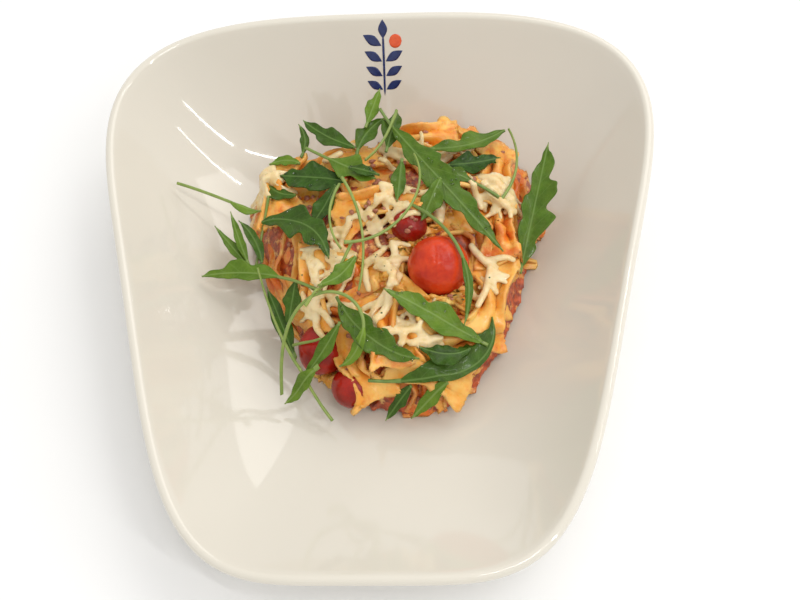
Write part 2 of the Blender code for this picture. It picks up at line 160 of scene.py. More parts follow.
LEAVES = (
    leaf(32, -48, 27, 213, 0, 20, 15, 3, 3, 0, 0.5),
    leaf(16, -49, 29, 220, 0, 16, 15, 3, 3, 0, 0.1),
    leaf(-37, -33, 22, 113, 0, 38, 30, 4, 4, 0.05, 0.1),
    leaf(-37, 1, 36, 258, 0, 19, 26, 4, 4.5, 0, 0.15),
    leaf(-39, 45, 42, 180, -60, 17, 37, 5, 3, 0, 0.15),
    leaf(-59, 9, 26, 83, -8, 37, 35, 0, 0, 1, 0.6),
    leaf(-59, 11, 26, 130, 0, 31, 32, 2.5, 2.5, 0.1, 0.35),
    leaf(-59, 9, 28, 115, -8, 34, 35, 2, 2.5, 0.2, 0.4),
    leaf(-55, 15, 30, 100, 40, 24, 35, 3, 3, 0, 0.15),
    leaf(-99, 58, 35, -18, -12, 47, 32, 1, 4.5, 0.62, 0.6),
    leaf(-38, 63, 42, 148, 50, 16, 39, 3, 3, 0, 0.5),
    leaf(-38, 68, 40, 60, 70, 18, 44, 2.5, 2, 0.1, 0.2),
    leaf(-15, 48, 48, 166, 0, 33, 42, 8.5, 8.5, 0, 0.05),
    leaf(-19, 45, 46, 241, 0, 23, 38, 4.5, 5, 0, 0.08),
    leaf(-11, 68, 47, 158, -26, 32, 45, 5, 5, 0, 0.12),
    leaf(-10, 64, 46, 82, -50, 25, 48, 4.5, 5, 0.1, 0.2),
    leaf(4, 65, 47, 78, 0, 25, 46, 5, 5, 0.1, 0.2),
    leaf(-6, 78, 48, 72, 0, 22, 52, 3.5, 3.5, 0.1, 0.5),
    leaf(-35, 70, 44, -38, 5, 43, 53, 7, 7, 0.35, 0.45),
    leaf(-13, 52, 50, -22, 0, 16, 51, 3, 3, 0, 0.1),
    leaf(-55, 33, 35, 0, -75, 46, 42, 7, 9, 0, 0.12, arch=5),
    leaf(-24, -8, 42, 145, 38, 63, 28, 4, 7, 0.38, 0.45),
    leaf(-3, -48, 32, -2, 110, 73, 34, 11, 2.5, 0.2, 0.15, arch=-5, curl=2.5),
    leaf(42, -34, 33, 217, -70, 24, 36, 6, 4.5, 0, 0.08),
    leaf(-17, -12, 45, -66, 55, 49, 32, 7, 6.5, 0.05, 0.28, arch=2),
    leaf(-15, -25, 42, 229, -6, 27, 26, 3.5, 3.5, 0, 0.4),
    leaf(-38, -28, 27, -8, 0, 14, 37, 0, 0, 1, 0.6),
    leaf(-20, -60, 14, 130, -25, 76, 32, 0, 0, 1, 0.7),
    leaf(-25, -41, 26, 219, -16, 20, 14, 3.5, 3.5, 0.1, 0.5),
    leaf(50, -32, 28, 156, 0, 50, 52, 6.5, 6.5, 0.05, 0.5, arch=3),
    leaf(-43, -49, 18, 86, -270, 88, 26, 3, 3, 0.8, 0.65, arch=30, curl=1.8),
    leaf(33, 58, 45, 2, 18, 26, 43, 5.5, 6.5, 0, 0.03),
    leaf(61, 79, 43, 220, -45, 42, 47, 4, 6, 0, 0.35),
    leaf(58, 39, 44, 52, 62, 42, 44, 0, 0, 1, 0.65),
    leaf(57, 39, 44, 142, 24, 30, 51, 4, 3.5, 0.5, 0.3),
    leaf(1, 87, 46, -59, 12, 95, 43, 8, 7, 0.12, 0.3, arch=8),
    leaf(30, 44, 52, 247, 0, 23, 50, 5.5, 4.5, 0, 0.35),
    leaf(12, 56, 53, 265, 0, 23, 53, 3.5, 4, 0.05, 0.25),
    leaf(9, 87, 49, 260, -28, 35, 52, 0, 0, 1, 0.65),
    leaf(17, 31, 53, -42, -70, 66, 43, 2, 2, 0.55, 0.3, arch=8, curl=1.6),
    leaf(-17, 45, 50, 242, 62, 38, 52, 0, 0, 1, 0.8),
    leaf(-16, 47, 51, -60, -42, 61, 51, 0, 0, 1, 0.85, arch=3),
    leaf(-10, 9, 55, 244, -14, 36, 40, 0, 0, 1, 0.9),
    leaf(-8, 3, 54, 240, -28, 23, 46, 4, 4, 0, 0.5),
    leaf(-13, 8, 53, 3, 110, 68, 54, 0, 0, 1, 0.7, arch=4),
    leaf(66, 8, 26, 76, 0, 65, 43, 6, 10, 0.06, 0.3),
)
# Shreds of cheese lying on top: middle x and y, heading in degrees, length, radius.
THICK_SHREDS = (
    (46, 42, -70, 16, 1.8),
    (58, 38, -80, 18, 2.4),
    (47, 12, -60, 14, 2.0),
    (57, 10, 10, 15, 1.7),
    (50, -6, -90, 26, 1.8),
    (43, -6, -80, 18, 1.9),
    (4, -20, -85, 20, 2.1),
    (13, -29, -40, 16, 2.0),
    (25, -31, 30, 12, 2.0),
    (8, -4, -90, 12, 1.7),
    (-4, -3, -90, 12, 1.8),
    (1, 43, -30, 20, 1.8),
    (5, 28, 20, 26, 1.9),
    (29, 31, -90, 11, 3.0),
    (-27, -9, -20, 13, 1.9),
    (-22, -19, -20, 12, 1.8),
    (54, 50, 10, 20, 2.2),
    (37, 58, 0, 14, 1.9),
    (-50, 56, 20, 16, 2.4),
)

# Patches of melted shreds: centre, spread, how many shreds, shortest and longest.
CHEESE_PATCHES = (
    ((4, 6), (14, 12), 14, 10, 20),
    ((-4, -20), (12, 10), 5, 10, 18),
    ((4, 34), (15, 12), 15, 9, 17),
    ((54, 44), (10, 10), 20, 8, 16),
    ((52, -4), (5, 12), 5, 12, 20),
    ((-54, 54), (8, 8), 26, 8, 14),
    ((-20, 14), (12, 16), 13, 9, 18),
    ((14, 72), (26, 10), 20, 8, 16),
    ((-26, -10), (9, 12), 12, 10, 18),
    ((20, -28), (12, 6), 7, 14, 26),
)

# Crumbs: centre, spread, how many, smallest and largest.
CRUMB_PATCHES = (
    ((-34, 34), (10, 10), 34, 2.0, 4.0),
    ((2, 24), (14, 10), 22, 1.6, 3.4),
    ((-2, 50), (12, 8), 20, 1.6, 3.4),
    ((10, 0), (40, 36), 45, 1.2, 2.6),
    ((20, 60), (34, 20), 30, 1.4, 3.0),
)

# Herb flecks, as the crumbs above.
HERB_PATCHES = (((8, 12), (40, 40), 30, 0.5, 1.1),)

# How cheese, core, crumbs and halves are made.
CHEESE_VOXEL = 0.7
CHEESE_SMOOTHING = 5
CORE_VOXEL = 1.6
CORE_SMOOTHING = 4
CORE_TOP_INSET = 4.0
CORE_UNDER_INSET = 1.0
LOWEST_CRUMB_Z = 14.0
HALF_DEPTH = 0.15

# Leaf number, and how many drops lie on it.
WET_LEAVES = ((21, 16), (25, 20), (30, 8), (36, 26), (13, 6), (20, 6))

# How leaves are drawn. LEAF_ROOM is left under them, LEAF_SEARCH_Z is where rays up to them start.
STEM_RADIUS = 0.75
LEAF_ROWS = 81
LEAF_COLUMNS = 17
LEAF_SMOOTHING = 3.0
LEAF_ROOM = 0.4
LEAF_SEARCH_Z = 12.0
LOBE_SWEEP = 0.5
LOBE_SPACING = 16.0
LOBE_DEPTH = 0.42
ROUTE_STEPS = 24


# ---------------------------------------------------------------- meshes


def make_object(name, points, faces, look, tints=None):
    """A smooth mesh object from points in millimetres, with an optional vector for each, named tint."""
    mesh = bpy.data.meshes.new(name)
    mesh.from_pydata((np.asarray(points, float) * MM).tolist(), [], faces)
    if tints is not None:
        layer = mesh.attributes.new("tint", "FLOAT_VECTOR", "POINT")
        layer.data.foreach_set("vector", np.asarray(tints, np.float32).ravel())
    mesh.materials.append(look)
    mesh.shade_smooth()
    obj = bpy.data.objects.new(name, mesh)
    bpy.context.scene.collection.objects.link(obj)
    return obj


def fix_normals(obj):
    bm = bmesh.new()
    bm.from_mesh(obj.data)
    bmesh.ops.recalc_face_normals(bm, faces=bm.faces)
    bm.to_mesh(obj.data)
    bm.free()


def ring_mesh(rings, first_centre, last_centre):
    """Points and faces of a closed skin over rings of equal length, each end closed by a fan."""
    count = len(rings[0])
    points = np.vstack([[first_centre]] + [np.asarray(r) for r in rings] + [[last_centre]])
    last = len(points) - 1
    faces = []
    for i in range(count):
        j = (i + 1) % count
        faces.append((0, 1 + i, 1 + j))
        for r in range(len(rings) - 1):
            a = 1 + r * count
            faces.append((a + i, a + count + i, a + count + j, a + j))
        a = 1 + (len(rings) - 1) * count
        faces.append((a + j, a + i, last))
    return points, faces


def grid_normals(grid):
    """Unit normals of a grid of points."""
    normal = np.cross(np.gradient(grid, axis=0), np.gradient(grid, axis=1))
    return normal / np.maximum(np.linalg.norm(normal, axis=2, keepdims=True), 1e-9)


def sheet(grid, thickness):
    """Points and faces of a closed sheet round a grid of points, with a thickness for each point."""
    long, wide = grid.shape[:2]
    half = grid_normals(grid) * np.asarray(thickness)[..., None] / 2
    points = np.vstack([(grid + half).reshape(-1, 3), (grid - half).reshape(-1, 3)])
    under = long * wide
    faces = []
    for i in range(long - 1):
        for j in range(wide - 1):
            a, b, c, d = i * wide + j, i * wide + j + 1, (i + 1) * wide + j + 1, (i + 1) * wide + j
            faces += [(a, d, c, b), (a + under, b + under, c + under, d + under)]
    edge = [(0, j) for j in range(wide)] + [(i, wide - 1) for i in range(1, long)]
    edge += [(long - 1, j) for j in range(wide - 2, -1, -1)] + [(i, 0) for i in range(long - 2, 0, -1)]
    border = [i * wide + j for i, j in edge]
    for a, b in zip(border, border[1:] + border[:1]):
        faces.append((a, b, b + under, a + under))
    return points, faces


def tree_of(*objects):
    """A ray-casting tree over whole objects, in metres."""
    bpy.context.view_layer.update()
    graph = bpy.context.evaluated_depsgraph_get()
    points, faces = [], []
    for obj in objects:
        evaluated = obj.evaluated_get(graph)
        mesh = evaluated.to_mesh()
        mesh.calc_loop_triangles()
        start = len(points)
        points += [obj.matrix_world @ v.co for v in mesh.vertices]
        faces += [tuple(start + i for i in t.vertices) for t in mesh.loop_triangles]
        evaluated.to_mesh_clear()
    return BVHTree.FromPolygons(points, faces)


def drop(tree, x, y):
    """(point, normal) in millimetres of the highest surface below a point of the plan, or (None, None)."""
    hit, normal, _, _ = tree.ray_cast(Vector((x * MM, y * MM, 0.2)), Vector((0, 0, -1)))
    if hit is None:
        return None, None
    return np.array(hit) / MM, np.array(normal if normal.z > 0 else -normal)


# ---------------------------------------------------------------- materials


class Look:
    """A node material built step by step. Lengths in its textures are millimetres."""

    def __init__(self, name):
        self.material = bpy.data.materials.new(name)
        self.material.use_nodes = True
        self.tree = self.material.node_tree
        self.shader = self.tree.nodes["Principled BSDF"]
        coordinates = self.tree.nodes.new("ShaderNodeTexCoord")
        self.mm = self.math_vector("SCALE", coordinates.outputs["Object"], scale=1000.0)

    def link(self, source, target):
        self.tree.links.new(source, target)

    def put(self, socket, value):
        if hasattr(value, "links") or isinstance(value, bpy.types.NodeSocket):
            self.link(value, socket)
        else:
            socket.default_value = value

    def set(self, **values):
        for name, value in values.items():
            self.put(self.shader.inputs[name.replace("_", " ")], value)

    def math_vector(self, operation, vector, scale=1.0):
        node = self.tree.nodes.new("ShaderNodeVectorMath")
        node.operation = operation
        self.put(node.inputs[0], vector)
        node.inputs["Scale"].default_value = scale
        return node.outputs[0]

    def noise(self, size, detail=3.0, roughness=0.55, distortion=0.0, vector=None):
        node = self.tree.nodes.new("ShaderNodeTexNoise")
        self.link(vector or self.mm, node.inputs["Vector"])
        node.inputs["Scale"].default_value = 1.0 / size
        node.inputs["Detail"].default_value = detail
        node.inputs["Roughness"].default_value = roughness
        node.inputs["Distortion"].default_value = distortion
        return node.outputs["Fac"]

    def cells(self, size, feature="F1", randomness=1.0, vector=None):
        node = self.tree.nodes.new("ShaderNodeTexVoronoi")
        node.feature = feature
        self.link(vector or self.mm, node.inputs["Vector"])
        node.inputs["Scale"].default_value = 1.0 / size
        node.inputs["Randomness"].default_value = randomness
        return node.outputs["Distance"]

    def range(self, value, low, high, to_low=0.0, to_high=1.0):
        node = self.tree.nodes.new("ShaderNodeMapRange")
        node.interpolation_type = "SMOOTHSTEP"
        self.put(node.inputs["Value"], value)
        for name, number in (("From Min", low), ("From Max", high), ("To Min", to_low), ("To Max", to_high)):
            node.inputs[name].default_value = number
        return node.outputs["Result"]

    def math(self, operation, a, b=0.0):
        node = self.tree.nodes.new("ShaderNodeMath")
        node.operation = operation
        self.put(node.inputs[0], a)
        self.put(node.inputs[1], b)
        return node.outputs[0]

    def mix(self, factor, a, b):
        node = self.tree.nodes.new("ShaderNodeMix")
        node.data_type = "RGBA"
        self.put(node.inputs["Factor"], factor)
        for socket, colour in ((node.inputs[6], a), (node.inputs[7], b)):
            self.put(socket, (*colour, 1.0) if isinstance(colour, tuple) and len(colour) == 3 else colour)
        return node.outputs[2]

    def mottled(self, patch, a, b):
        """One colour fading into another by a noise."""
        return self.mix(self.range(patch, 0.3, 0.7), a, b)

    def tint(self):
        """The three values stored on the mesh's points."""
        node = self.tree.nodes.new("ShaderNodeAttribute")
        node.attribute_name = "tint"
        parts = self.tree.nodes.new("ShaderNodeSeparateXYZ")
        self.link(node.outputs["Vector"], parts.inputs[0])
        return parts.outputs[0], parts.outputs[1], parts.outputs[2]

    def bump(self, height, depth, strength=1.0):
        """Relief of the given depth in millimetres."""
        node = self.tree.nodes.new("ShaderNodeBump")
        node.inputs["Strength"].default_value = strength
        node.inputs["Distance"].default_value = depth * MM
        self.link(height, node.inputs["Height"])
        self.link(node.outputs["Normal"], self.shader.inputs["Normal"])


def glaze_look():
    look = Look("white_glaze")
    cloud = look.noise(60.0, 2.0)
    fine = look.noise(3.0, 2.0)
    colour = look.mottled(cloud, (0.685, 0.645, 0.56), (0.70, 0.66, 0.575))
    look.set(Base_Color=colour, Roughness=look.range(fine, 0.3, 0.7, 0.05, 0.09))
    look.set(Coat_Weight=0.3, Coat_Roughness=0.03)
    look.bump(look.noise(25.0, 1.0), 0.12, 0.4)
    return look.material


def print_look(name, colour, deep):
    look = Look(name)
    patch = look.noise(2.0, 3.0)
    look.set(Base_Color=look.mottled(patch, colour, deep), Roughness=0.15)
    return look.material


def pasta_look():
    look = Look("cooked_pasta")
    sauce, edge, fold = look.tint()
    base = look.mottled(look.noise(9.0, 3.0), (0.84, 0.32, 0.025), (0.88, 0.52, 0.13))
    smear = look.math("ADD", look.noise(6.0, 4.0, 0.6, 0.4), look.math("MULTIPLY", sauce, 0.4))
    stain = look.range(smear, 0.6, 0.9)
    orange = look.mix(look.math("MULTIPLY", stain, 0.9), base, (0.72, 0.13, 0.012))
    pale = look.mix(look.math("MULTIPLY", edge, 0.3), orange, (0.78, 0.50, 0.17))
    browned = look.mix(look.math("MULTIPLY", fold, 0.3), pale, (0.56, 0.20, 0.03))
    specks = look.range(look.cells(2.6), 0.0, 0.16, 1.0, 0.0)
    colour = look.mix(look.math("MULTIPLY", specks, stain), browned, (0.30, 0.03, 0.006))
    look.set(Base_Color=colour, Roughness=look.range(look.noise(4.0), 0.3, 0.7, 0.22, 0.42))
    look.set(Subsurface_Weight=0.25, Subsurface_Radius=(0.004, 0.0018, 0.0006), Subsurface_Scale=0.6)
    look.set(Coat_Weight=0.18, Coat_Roughness=0.1, Specular_IOR_Level=0.35)
    look.bump(look.noise(1.3, 3.0), 0.18, 0.6)
    return look.material


def sauce_look():
    look = Look("sauce_and_melt")
    lumps = look.noise(5.0, 4.0, 0.6)
    red = look.mottled(look.noise(3.0, 3.0), (0.22, 0.022, 0.004), (0.58, 0.095, 0.012))
    cream = look.mottled(look.noise(4.0, 3.0), (0.70, 0.28, 0.05), (0.80, 0.48, 0.16))
    look.set(Base_Color=look.mix(look.range(lumps, 0.52, 0.64), red, cream), Roughness=0.28)
    look.set(Subsurface_Weight=0.15, Subsurface_Radius=(0.003, 0.001, 0.0005), Subsurface_Scale=0.5)
    look.set(Coat_Weight=0.3, Coat_Roughness=0.1)
    look.bump(lumps, 1.2, 0.9)
    return look.material


def cheese_look():
    look = Look("melted_cheese")
    patch = look.noise(7.0, 3.0)
    oil = look.range(look.noise(5.0, 3.0, 0.6), 0.52, 0.75)
    colour = look.mottled(patch, (0.72, 0.53, 0.24), (0.80, 0.65, 0.38))
    look.set(Base_Color=look.mix(look.math("MULTIPLY", oil, 0.5), colour, (0.74, 0.38, 0.09)))
    look.set(Roughness=look.range(patch, 0.3, 0.7, 0.22, 0.4), Subsurface_Weight=0.35)
    look.set(Subsurface_Radius=(0.004, 0.003, 0.0015), Subsurface_Scale=0.6)
    look.set(Coat_Weight=0.3, Coat_Roughness=0.1)
    look.bump(look.noise(1.4, 2.0), 0.15, 0.5)
    return look.material


def tomato_look(name, dark, light):
    look = Look(name)
    patch = look.noise(9.0, 3.0)
    colour = look.mottled(patch, dark, light)
    flecks = look.range(look.cells(1.4), 0.0, 0.1, 1.0, 0.0)
    look.set(Base_Color=look.mix(look.math("MULTIPLY", flecks, 0.35), colour, (0.85, 0.25, 0.05)))
    look.set(Roughness=0.22, Subsurface_Weight=0.2)
    look.set(Subsurface_Radius=(0.006, 0.001, 0.0004), Subsurface_Scale=0.7)
    look.set(Coat_Weight=0.15, Coat_Roughness=0.06, Specular_IOR_Level=0.25)
    wrinkles = look.noise(2.4, 3.0, 0.55, 1.2)
    look.bump(wrinkles, 0.35, 0.5)
    return look.material


def leaf_look():
    look = Look("rocket_leaf")
    along, across, tint = look.tint()
    dark = look.mottled(look.noise(5.0, 3.0), (0.009, 0.034, 0.001), (0.022, 0.075, 0.003))
    light = look.mottled(look.noise(6.0, 3.0), (0.15, 0.27, 0.015), (0.24, 0.38, 0.03))
    blade = look.mix(tint, dark, light)
    side = look.math("ABSOLUTE", across)
    slant = look.math("SUBTRACT", look.math("MULTIPLY", along, 8.0), look.math("MULTIPLY", side, 0.9))
    wave = look.math("ABSOLUTE", look.math("SUBTRACT", look.math("FRACT", slant), 0.5))
    vein = look.math("MULTIPLY", look.range(wave, 0.0, 0.045, 1.0, 0.0), 0.3)
    net = look.math("MULTIPLY", look.range(look.cells(2.0, "DISTANCE_TO_EDGE"), 0.0, 0.1, 1.0, 0.0), 0.12)
    lines = look.math("MAXIMUM", vein, net)
    rib = look.math("MULTIPLY", look.range(side, 0.025, 0.07, 1.0, 0.0), 0.6)
    pale = look.mix(tint, (0.11, 0.20, 0.045), (0.33, 0.42, 0.13))
    colour = look.mix(look.math("MAXIMUM", lines, rib), blade, pale)
    look.set(Base_Color=colour, Roughness=look.range(look.noise(3.0), 0.3, 0.7, 0.28, 0.5))
    look.set(Subsurface_Weight=0.1, Subsurface_Radius=(0.0008, 0.0015, 0.0003), Subsurface_Scale=0.5)
    look.set(Coat_Weight=0.14, Coat_Roughness=0.07, Specular_IOR_Level=0.15)
    look.bump(look.math("ADD", lines, look.noise(2.5, 2.0)), 0.22, 0.6)
    return look.material


def stem_look():
    look = Look("rocket_stem")
    _, _, tint = look.tint()
    streak = look.noise(5.0, 3.0)
    pale = look.mix(tint, (0.07, 0.15, 0.025), (0.33, 0.40, 0.09))
    look.set(Base_Color=look.mix(look.range(streak, 0.35, 0.75), pale, (0.17, 0.26, 0.05)), Roughness=0.33)
    look.set(Subsurface_Weight=0.2, Subsurface_Radius=(0.001, 0.0015, 0.0004), Subsurface_Scale=0.5)
    look.bump(look.noise(0.8, 2.0), 0.1, 0.5)
    return look.material


def crumb_look():
    look = Look("minced_meat")
    patch = look.noise(1.8, 4.0, 0.65)
    colour = look.mottled(patch, (0.28, 0.075, 0.035), (0.52, 0.22, 0.13))
    look.set(Base_Color=colour, Roughness=0.45)
    look.bump(patch, 0.4, 0.8)
    return look.material


def herb_look():
    look = Look("dried_herb")
    patch = look.noise(0.7, 3.0)
    colour = look.mottled(patch, (0.03, 0.06, 0.015), (0.09, 0.14, 0.04))
    look.set(Base_Color=colour, Roughness=0.6)
    return look.material


def drop_look():
    look = Look("oil_drop")
    patch = look.noise(1.0, 2.0)
    colour = look.mottled(patch, (0.95, 0.97, 0.88), (1.0, 1.0, 0.95))
    look.set(Base_Color=colour, Roughness=0.03)
    look.set(Transmission_Weight=1.0, IOR=1.4)
    return look.material


# ---------------------------------------------------------------- plate


def rim_outline(angle):
    """The inside edge of the rim at an angle clockwise from +Y."""
    across, along = np.sin(angle), np.cos(angle)
    square = RIM_NEAR_SQUARENESS + (RIM_FAR_SQUARENESS - RIM_NEAR_SQUARENESS) * (1 + along) / 2
    reach = (np.abs(across) ** square + np.abs(along) ** square) ** (-1 / square)
    u, v = reach * across, reach * along
    half_width = RIM_NEAR_HALF_WIDTH + (RIM_FAR_HALF_WIDTH - RIM_NEAR_HALF_WIDTH) * (1 + v) / 2
    x = u * (half_width - RIM_SIDE_HOLLOW * (1 - v**2))
    y = v * RIM_HALF_LENGTH + RIM_MIDDLE_Y
    share = (y + RIM_HALF_LENGTH) / (2 * RIM_HALF_LENGTH)
    return np.stack([x, y, RIM_NEAR_Z + (RIM_FAR_Z - RIM_NEAR_Z) * share], -1)


def well_outline(angle, scale):
    rim = rim_outline(angle)
    return np.stack([rim[..., 0] * scale, rim[..., 1] * scale + WELL_Y, np.full(rim.shape[:-1], FLOOR_Z)], -1)


def inner_ring(angle, step):
    """The inside of the wall, from the well's edge at step 0 to the rim at step 1."""
    well = well_outline(angle, WELL_SCALE)
    rim = rim_outline(angle)
    ring = well + (rim - well) * step
    ring[..., 2] = FLOOR_Z + (rim[..., 2] - FLOOR_Z) * step**WALL_POWER
    return ring


def wall_normal(angle, step):
    small = 0.01
    along = inner_ring(angle + small, step) - inner_ring(angle - small, step)
    up = inner_ring(angle, step + small) - inner_ring(angle, step - small)
    normal = np.cross(along, up)
    normal *= np.sign(normal[..., 2:3])
    return normal / np.linalg.norm(normal, axis=-1, keepdims=True)


def make_plate(look):
    angle = np.arange(PLATE_SIDES) * 2 * math.pi / PLATE_SIDES
    rings = [well_outline(angle, WELL_SCALE * k / FLOOR_STEPS) for k in range(1, FLOOR_STEPS)]
    rings += [inner_ring(angle, k / WALL_STEPS) for k in range(WALL_STEPS + 1)]
    normal = wall_normal(angle, 1.0)
    middle = rings[-1] - normal * PLATE_THICKNESS / 2
    upward = np.cross(normal, np.cross(np.array([0.0, 0.0, 1.0]), normal))
    upward /= np.linalg.norm(upward, axis=1, keepdims=True)
    for k in range(1, RIM_ARC_STEPS):
        turn = math.pi * k / RIM_ARC_STEPS
        rings.append(middle + (normal * math.cos(turn) + upward * math.sin(turn)) * PLATE_THICKNESS / 2)
    for step in np.linspace(1.0, OUTER_LOWEST_STEP, OUTER_STEPS):
        rings.append(inner_ring(angle, step) - wall_normal(angle, step) * PLATE_THICKNESS)
    low = FLOOR_Z - PLATE_THICKNESS
    outer, inner = FOOT_OUTER_SCALE, FOOT_INNER_SCALE
    foot = ((outer, low), (outer, FOOT_BEVEL_Z), (outer - FOOT_BEVEL_SCALE, 0.0))
    foot += ((inner + FOOT_BEVEL_SCALE, 0.0), (inner, FOOT_BEVEL_Z), (inner, FOOT_RECESS_Z))
    for scale, height in foot:
        ring = well_outline(angle, scale)
        ring[:, 2] = height
        rings.append(ring)
    points, faces = ring_mesh(rings, (0, WELL_Y, FLOOR_Z), (0, WELL_Y, FOOT_RECESS_Z))
    plate = make_object("deep_plate", points, faces, look)
    plate.data.set_sharp_from_angle(angle=math.radians(50))
    fix_normals(plate)
    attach(plate, "root")
    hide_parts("plate")
    return plate


def on_wall(along, up):
    """A point on the far wall's inside: along in millimetres from the middle, up as a wall step."""
    angle = np.asarray(along, float) / PRINT_RADIUS
    step = np.asarray(up, float)
    point = np.empty(angle.shape + (3,))
    for index in np.ndindex(angle.shape):
        here = inner_ring(np.array([angle[index]]), step[index])[0]
        point[index] = here + wall_normal(np.array([angle[index]]), step[index])[0] * PRINT_LIFT
    return point


def wall_patch(centre, turn, length, width, sharp):
    """A printed leaf or berry on the wall: a thin lens-shaped sheet."""
    t = np.linspace(-1, 1, 13)[:, None] * np.ones((1, 7))
    half = (1 - np.abs(t) ** sharp) ** (0.5 if sharp >= 2 else 1.0)
    s = np.linspace(-1, 1, 7)[None, :] * np.maximum(half, 0.04)
    u, v = t * length / 2, s * width / 2
    c, q = math.cos(math.radians(turn)), math.sin(math.radians(turn))
    along = centre[0] + u * c - v * q
    up = centre[1] + (u * q + v * c) / WALL_LENGTH
    return sheet(on_wall(along, up), np.full(t.shape, PRINT_THICKNESS))


def gather(parts):
    """One mesh from several (points, faces) pairs."""
    points, faces, start = [], [], 0
    for some, these in parts:
        points.append(some)
        faces += [tuple(i + start for i in face) for face in these]
        start += len(some)
    return np.vstack(points), faces


def make_print(blue, orange):
    """A plain sprig on the far wall: a stem with leaf pairs and one berry."""
    middle = 1.6
    parts = [wall_patch((middle, 0.8), 90, 27, 1.0, 8)]
    for level in (0.69, 0.76, 0.83, 0.90):
        parts.append(wall_patch((middle - 4.6, level + 0.02), 150, 8.5, 4.0, 1.6))
        if level != 0.90:
            parts.append(wall_patch((middle + 4.6, level + 0.02), 30, 8.5, 4.0, 1.6))
    parts.append(wall_patch((middle, 0.965), 90, 7.0, 3.8, 1.6))
    sprig = make_object("printed_sprig", *gather(parts), blue)
    berry = make_object("printed_berry", *wall_patch((middle + 5.2, 0.915), 0, 5.4, 5.4, 2), orange)
    for piece in (sprig, berry):
        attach(piece, "root")


# ---------------------------------------------------------------- pasta


def bow_grid(rng, bend, twist):
    """One bow tie, flat on the plane, with a pleated waist, toothed ends and rippled wings."""
    u = np.linspace(-1, 1, BOW_ROWS)[:, None] * np.ones((1, BOW_COLUMNS))
    v = np.linspace(-1, 1, BOW_COLUMNS)[None, :] * np.ones((BOW_ROWS, 1))
    a = np.abs(u)
    spread = np.clip(a / 0.85, 0, 1) ** 1.1
    half = BOW_WAIST / 2 + (BOW_WIDTH - BOW_WAIST) / 2 * spread
    pleat = 3.4 * np.exp(-((a / 0.34) ** 2)) + 0.5
    teeth = 2 * np.abs((v * 5.5 + 0.25) % 1.0 - 0.5)
    x = u * BOW_LENGTH / 2 + np.sign(u) * (teeth - 0.5) * 1.2 * np.clip((a - 0.9) / 0.1, 0, 1)
    phase = rng.uniform(0, 6.28, 4)
    z = pleat * np.cos(2 * math.pi * v)
    z += 1.3 * a * np.abs(v) ** 2 * np.sin(3.2 * math.pi * u + phase[0] + 1.5 * np.sign(v))
    z += 1.2 * a**2 * np.sin(2.4 * v + phase[1])
    z += bend * a**2 * (1 + 0.3 * np.sin(phase[2]) * np.sign(u))
    y = v * half
    turn = twist * u
    return np.stack([x, y * np.cos(turn) - z * np.sin(turn), y * np.sin(turn) + z * np.cos(turn)], -1)


def bow_tint(shape, sauce):
    """Sauce, pale edge and browned fold for each point."""
    u = np.abs(np.linspace(-1, 1, shape[0]))[:, None] * np.ones((1, shape[1]))
    v = np.abs(np.linspace(-1, 1, shape[1]))[None, :] * np.ones((shape[0], 1))
    edge = np.clip((np.maximum(u, v) - 0.8) / 0.2, 0, 1)
    fold = np.exp(-((u / 0.2) ** 2))
    tint = np.stack([np.full(u.shape, sauce), edge, fold], -1).reshape(-1, 3)
    return np.vstack([tint, tint])


def turned(turn, pitch, roll):
    """Rotation from a turn about Z, then a pitch about the bow's Y and a roll about its length."""
    made = Matrix.Rotation(math.radians(turn), 3, "Z") @ Matrix.Rotation(math.radians(pitch), 3, "Y")
    return np.array(made @ Matrix.Rotation(math.radians(roll), 3, "X"))


def lay_on(tree, x, y, turn, pitch, roll, lift, lean=0.7):
    """(rotation, place) of a piece laid on the heap, leaning as much as the surface under it."""
    point, normal = drop(tree, x, y)
    if point is None:
        return None
    up = Vector(normal * lean + np.array([0, 0, 1 - lean])).normalized()
    tilt = np.array(Vector((0, 0, 1)).rotation_difference(up).to_matrix())
    return tilt @ turned(turn, pitch, roll), point + np.array(up) * lift


def hugged(tree, grid, rotation, place, hug):
    """The bow laid out in the world, bent towards the surface under it as much as hug says."""
    flat = grid * (1, 1, 0) @ rotation.T + place
    relief = grid[..., 2]
    up = rotation[:, 2]
    made = np.empty(grid.shape)
    for index in np.ndindex(relief.shape):
        near, normal, _, _ = tree.find_nearest(Vector(flat[index] * MM))
        normal = normal if normal.z > -0.2 else -normal
        point = flat[index] * (1 - hug) + np.array(near) / MM * hug
        direction = up * (1 - hug) + np.array(normal) * hug
        made[index] = point + direction / np.linalg.norm(direction) * relief[index]
    return made


def below_leaves(leaf_tree, points, room):
    """Points in millimetres, pressed down where they would come through a leaf that lies over them."""
    pressed = points.copy()
    for index in np.ndindex(points.shape[:-1]):
        x, y, z = points[index]
        hit, _, _, _ = leaf_tree.ray_cast(Vector((x, y, LEAF_SEARCH_Z)) * MM, Vector((0, 0, 1)))
        if hit is not None and z > hit.z / MM - room:
            pressed[index][2] = hit.z / MM - room
    return pressed


def press_mesh(leaf_tree, obj, room):
    """Presses a finished piece down below the leaves."""
    places = np.array([v.co for v in obj.data.vertices]) / MM
    for vert, place in zip(obj.data.vertices, below_leaves(leaf_tree, places, room)):
        vert.co = place * MM


